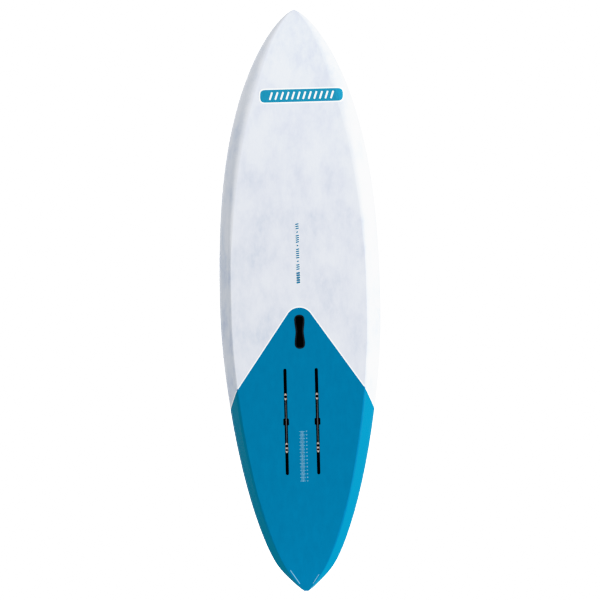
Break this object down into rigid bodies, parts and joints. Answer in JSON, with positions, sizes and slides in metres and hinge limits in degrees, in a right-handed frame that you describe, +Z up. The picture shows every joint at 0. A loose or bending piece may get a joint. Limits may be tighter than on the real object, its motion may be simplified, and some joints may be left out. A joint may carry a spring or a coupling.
{
  "type": "hydrofoil board",
  "caption": "Short pointed surf foil board with bevelled rails, twin foil tracks with sliding nuts, a carry handle and deck pads.",
  "frame": {"origin": "middle of the length, on the centreline, on the surface that the flat bottom rests on", "axes": "+X to the nose, +Y to port, +Z up through the deck"},
  "size_m": [1.676, 0.4643, 0.1301],
  "materials": {
    "bottom_laminate": "satin",
    "deck_laminate": "satin",
    "core_foam": "matte",
    "dense_foam": "matte",
    "track_plastic": "satin",
    "nut_brass": "satin",
    "spacer_plastic": "satin",
    "handle_plastic": "satin",
    "fitting_plastic": "satin",
    "plug_plastic": "satin",
    "seal_rubber": "matte",
    "membrane": "matte",
    "pin_steel": "satin",
    "pad_foam": "matte",
    "kick_foam": "matte",
    "insert_plastic": "satin"
  },
  "bodies": {
    "board": {"bottom_skin": "bottom_laminate", "deck_skin": "deck_laminate", "foam_core": "core_foam", "track_block": "dense_foam", "deck_stiffener": "dense_foam", "track_left": "track_plastic", "track_right": "track_plastic", "handle_cup": "handle_plastic", "vent_housing": "fitting_plastic", "vent_plug": "plug_plastic", "vent_oring": "seal_rubber", "vent_membrane": "membrane", "leash_cup": "fitting_plastic", "leash_pin": "pin_steel", "deck_pad_front_centre": "pad_foam", "deck_pad_front_left": "pad_foam", "deck_pad_front_right": "pad_foam", "deck_pad_rear_centre": "pad_foam", "deck_pad_rear_left": "pad_foam", "deck_pad_rear_right": "pad_foam", "deck_pad_tail": "pad_foam", "tail_kick": "kick_foam", "strap_insert_front_left": "insert_plastic", "strap_insert_front_right": "insert_plastic", "strap_insert_rear_left": "insert_plastic", "strap_insert_rear_right": "insert_plastic"},
    "nuts_left": {"nut_front_left": "nut_brass", "nut_rear_left": "nut_brass", "nut_spacer_left": "spacer_plastic"},
    "nuts_right": {"nut_front_right": "nut_brass", "nut_rear_right": "nut_brass", "nut_spacer_right": "spacer_plastic"}
  },
  "joints": [
    {"name": "nuts_left_slide", "type": "slide", "parent": "board", "child": "nuts_left", "axis": [1, 0, 0], "range_m": [-0.0625, 0.0702]},
    {"name": "nuts_right_slide", "type": "slide", "parent": "board", "child": "nuts_right", "axis": [1, 0, 0], "range_m": [-0.0625, 0.0702]}
  ]
}
